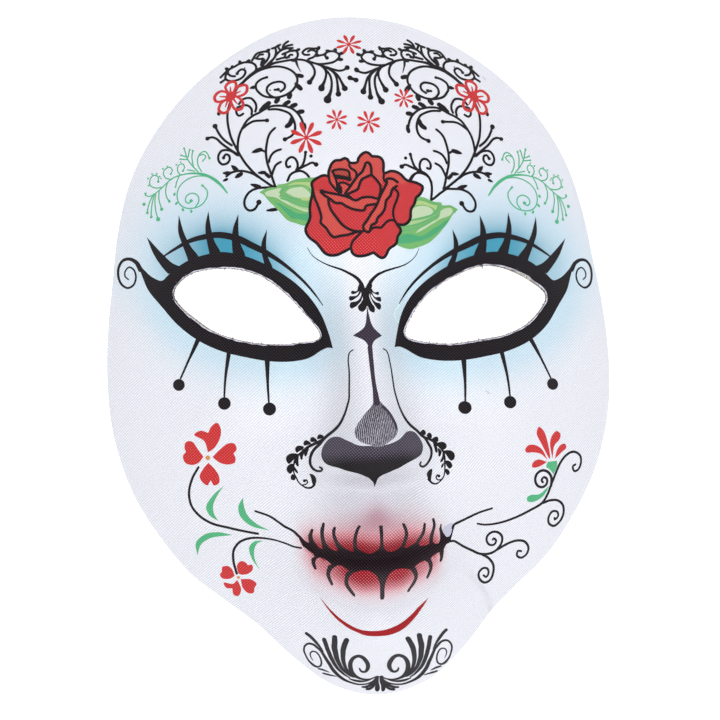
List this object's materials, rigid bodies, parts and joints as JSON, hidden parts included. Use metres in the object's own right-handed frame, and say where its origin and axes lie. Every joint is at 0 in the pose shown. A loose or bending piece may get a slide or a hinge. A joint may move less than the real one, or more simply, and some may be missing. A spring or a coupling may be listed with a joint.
{
  "type": "day of the dead mask",
  "caption": "Full-face carnival mask of printed cloth over a thin formed shell, with almond eye holes and painted skull make-up, flowers and scrolls.",
  "frame": {"origin": "bottom centre of the mask's box, on the surface that its back rim lies on", "axes": "+X to the viewer's right, +Y from chin to forehead, +Z out of the face"},
  "size_m": [0.1734, 0.2341, 0.0835],
  "materials": {
    "backing": "thin formed sheet, off-white, bare and matt on the inside",
    "cloth": "fine white twill printed in black, reds, greens and pale blue, stretched and bonded over the shell"
  },
  "bodies": {
    "root": {"backing_shell": "backing", "printed_cloth": "cloth"}
  },
  "joints": []
}
